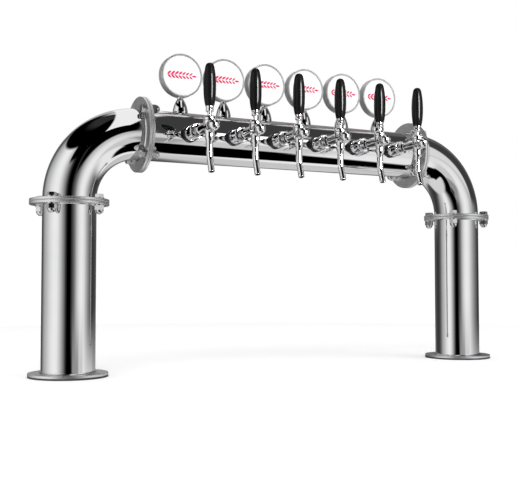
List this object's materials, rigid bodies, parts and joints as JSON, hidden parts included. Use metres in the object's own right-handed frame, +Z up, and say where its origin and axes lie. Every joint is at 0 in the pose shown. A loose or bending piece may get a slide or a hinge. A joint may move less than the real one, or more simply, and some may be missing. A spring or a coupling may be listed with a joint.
{
  "type": "beer tap tower",
  "caption": "Bridge-style draught beer tower: polished tube arch on two columns, with lever taps in front and round lit badges on top.",
  "frame": {"origin": "midway between the two columns, on the plane that the base gaskets stand on", "axes": "+Z up, taps face -Y, +X to the right of someone who faces the taps, along the cross tube"},
  "size_m": [1.08, 0.256, 0.64],
  "materials": {
    "polished_steel": "mirror-polished stainless steel",
    "bright_chrome": "bright chrome plating",
    "bolt_steel": "polished stainless fasteners",
    "plain_steel": "plain stainless steel",
    "black_handle": "gloss black",
    "black_collar": "black nylon",
    "white_face": "gloss white acrylic",
    "base_rubber": "black rubber",
    "pale_gasket": "pale PTFE",
    "line_plastic": "milky food-grade tube",
    "lead_plastic": "black cable jacket",
    "foam": "closed-cell foam",
    "led_board": "white circuit board"
  },
  "bodies": {
    "tower": {"column_left": "polished_steel", "column_right": "polished_steel", "elbow_left": "polished_steel", "elbow_right": "polished_steel", "cross_tube": "polished_steel", "faucet_body_1": "bright_chrome", "faucet_body_2": "bright_chrome", "faucet_body_3": "bright_chrome", "faucet_body_4": "bright_chrome", "faucet_body_5": "bright_chrome", "faucet_body_6": "bright_chrome", "badge_housing_1": "bright_chrome", "badge_housing_2": "bright_chrome", "badge_housing_3": "bright_chrome", "badge_housing_4": "bright_chrome", "badge_housing_5": "bright_chrome", "badge_housing_6": "bright_chrome", "tap_shanks": "bright_chrome", "coupling_nuts": "bright_chrome", "lever_bonnets": "bright_chrome", "front_caps": "bright_chrome", "spouts": "bright_chrome", "badge_necks": "bright_chrome", "flange_bolts": "bolt_steel", "flange_washers": "bolt_steel", "flange_dome_nuts": "bolt_steel", "shank_lock_nuts": "plain_steel", "tailpieces": "plain_steel", "tailpiece_nuts": "plain_steel", "hose_clamps": "plain_steel", "badge_neck_nuts": "plain_steel", "shank_collars": "black_collar", "badge_faces": "white_face", "base_gasket_left": "base_rubber", "base_gasket_right": "base_rubber", "flange_gaskets": "pale_gasket", "lever_seals": "pale_gasket", "tail_washers": "pale_gasket", "beer_lines": "line_plastic", "led_loom": "lead_plastic", "column_insulation": "foam", "led_boards": "led_board"},
    "lever_1": {"lever_1": "bright_chrome", "handle_1": "black_handle"},
    "plunger_1": {"plunger_1": "plain_steel"},
    "lever_2": {"lever_2": "bright_chrome", "handle_2": "black_handle"},
    "plunger_2": {"plunger_2": "plain_steel"},
    "lever_3": {"lever_3": "bright_chrome", "handle_3": "black_handle"},
    "plunger_3": {"plunger_3": "plain_steel"},
    "lever_4": {"lever_4": "bright_chrome", "handle_4": "black_handle"},
    "plunger_4": {"plunger_4": "plain_steel"},
    "lever_5": {"lever_5": "bright_chrome", "handle_5": "black_handle"},
    "plunger_5": {"plunger_5": "plain_steel"},
    "lever_6": {"lever_6": "bright_chrome", "handle_6": "black_handle"},
    "plunger_6": {"plunger_6": "plain_steel"}
  },
  "joints": [
    {"name": "lever_1_pull", "type": "hinge", "parent": "tower", "child": "lever_1", "pos_m": [-0.24, -0.15, 0.484], "axis": [1, 0, 0], "range_deg": [0, 30]},
    {"name": "plunger_1_slide", "type": "slide", "parent": "tower", "child": "plunger_1", "axis": [0, 1, 0], "range_m": [0, 0.0072]},
    {"name": "lever_2_pull", "type": "hinge", "parent": "tower", "child": "lever_2", "pos_m": [-0.144, -0.15, 0.484], "axis": [1, 0, 0], "range_deg": [0, 30]},
    {"name": "plunger_2_slide", "type": "slide", "parent": "tower", "child": "plunger_2", "axis": [0, 1, 0], "range_m": [0, 0.0072]},
    {"name": "lever_3_pull", "type": "hinge", "parent": "tower", "child": "lever_3", "pos_m": [-0.048, -0.15, 0.484], "axis": [1, 0, 0], "range_deg": [0, 30]},
    {"name": "plunger_3_slide", "type": "slide", "parent": "tower", "child": "plunger_3", "axis": [0, 1, 0], "range_m": [0, 0.0072]},
    {"name": "lever_4_pull", "type": "hinge", "parent": "tower", "child": "lever_4", "pos_m": [0.048, -0.15, 0.484], "axis": [1, 0, 0], "range_deg": [0, 30]},
    {"name": "plunger_4_slide", "type": "slide", "parent": "tower", "child": "plunger_4", "axis": [0, 1, 0], "range_m": [0, 0.0072]},
    {"name": "lever_5_pull", "type": "hinge", "parent": "tower", "child": "lever_5", "pos_m": [0.144, -0.15, 0.484], "axis": [1, 0, 0], "range_deg": [0, 30]},
    {"name": "plunger_5_slide", "type": "slide", "parent": "tower", "child": "plunger_5", "axis": [0, 1, 0], "range_m": [0, 0.0072]},
    {"name": "lever_6_pull", "type": "hinge", "parent": "tower", "child": "lever_6", "pos_m": [0.24, -0.15, 0.484], "axis": [1, 0, 0], "range_deg": [0, 30]},
    {"name": "plunger_6_slide", "type": "slide", "parent": "tower", "child": "plunger_6", "axis": [0, 1, 0], "range_m": [0, 0.0072]}
  ],
  "couplings": [
    {"joint": "plunger_1_slide", "follows": "lever_1_pull", "m_per_rad": 0.0136},
    {"joint": "plunger_2_slide", "follows": "lever_2_pull", "m_per_rad": 0.0136},
    {"joint": "plunger_3_slide", "follows": "lever_3_pull", "m_per_rad": 0.0136},
    {"joint": "plunger_4_slide", "follows": "lever_4_pull", "m_per_rad": 0.0136},
    {"joint": "plunger_5_slide", "follows": "lever_5_pull", "m_per_rad": 0.0136},
    {"joint": "plunger_6_slide", "follows": "lever_6_pull", "m_per_rad": 0.0136}
  ]
}
